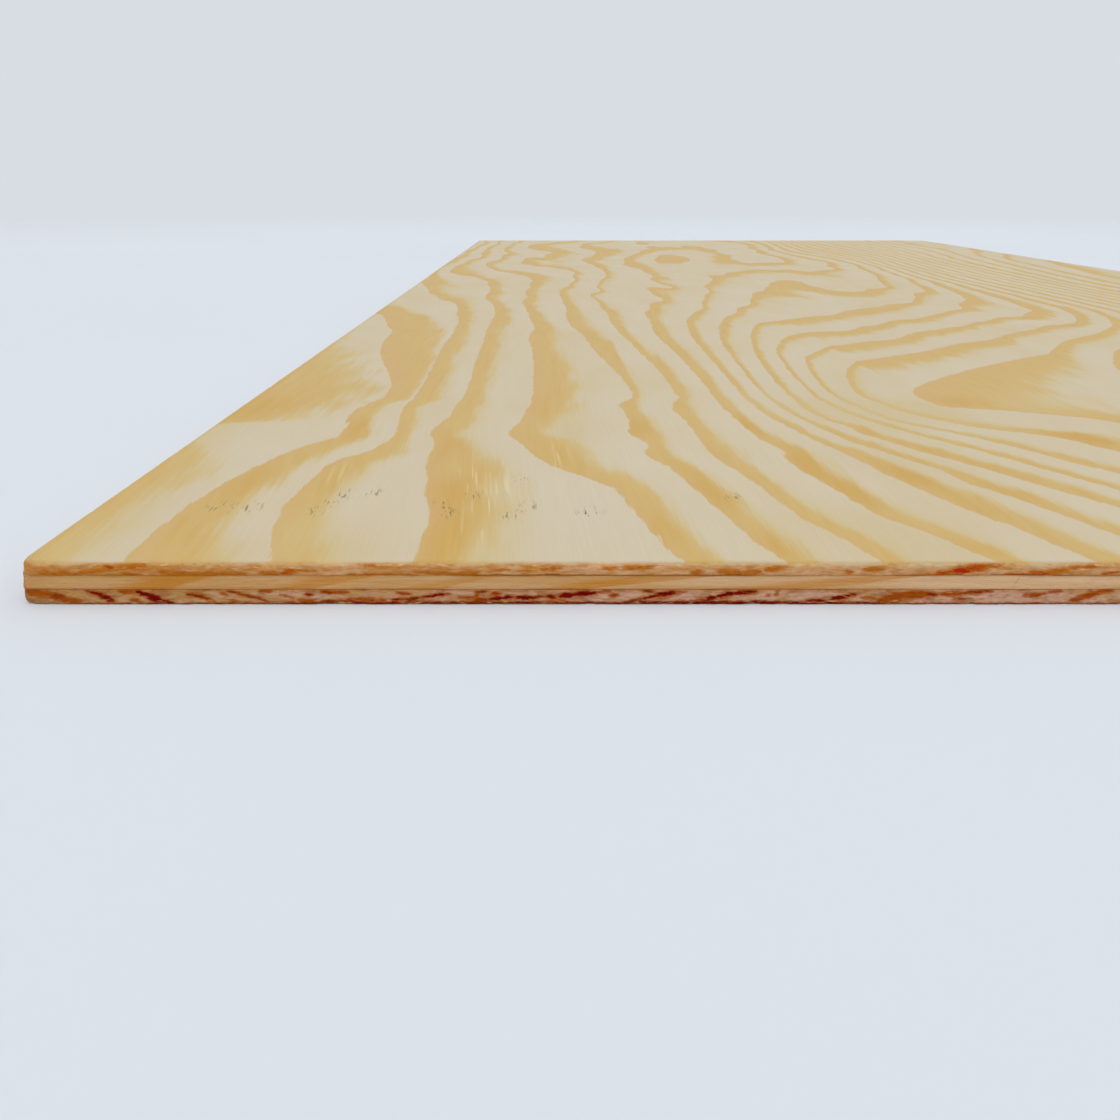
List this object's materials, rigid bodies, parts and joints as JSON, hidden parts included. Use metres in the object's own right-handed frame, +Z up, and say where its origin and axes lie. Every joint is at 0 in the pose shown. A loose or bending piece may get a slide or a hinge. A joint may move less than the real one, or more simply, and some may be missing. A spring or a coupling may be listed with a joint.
{
  "type": "plywood sheet",
  "caption": "Flat rectangular sheet of cross-banded softwood plywood, sanded face up, with sawn edges, slightly eased arrises and blunted corners.",
  "frame": {"origin": "centre of the sheet's underside", "axes": "+Y along the face grain and the sheet's length, +X across the sheet, +Z up out of the sanded face"},
  "size_m": [0.61, 1.22, 0.009],
  "materials": {
    "face_veneer": "sanded, unfinished pine",
    "core_veneer": "sawn edge, unfinished pine",
    "back_veneer": "unsanded, unfinished pine"
  },
  "bodies": {
    "root": {"face_veneer": "face_veneer", "core_veneer": "core_veneer", "back_veneer": "back_veneer"}
  },
  "joints": []
}
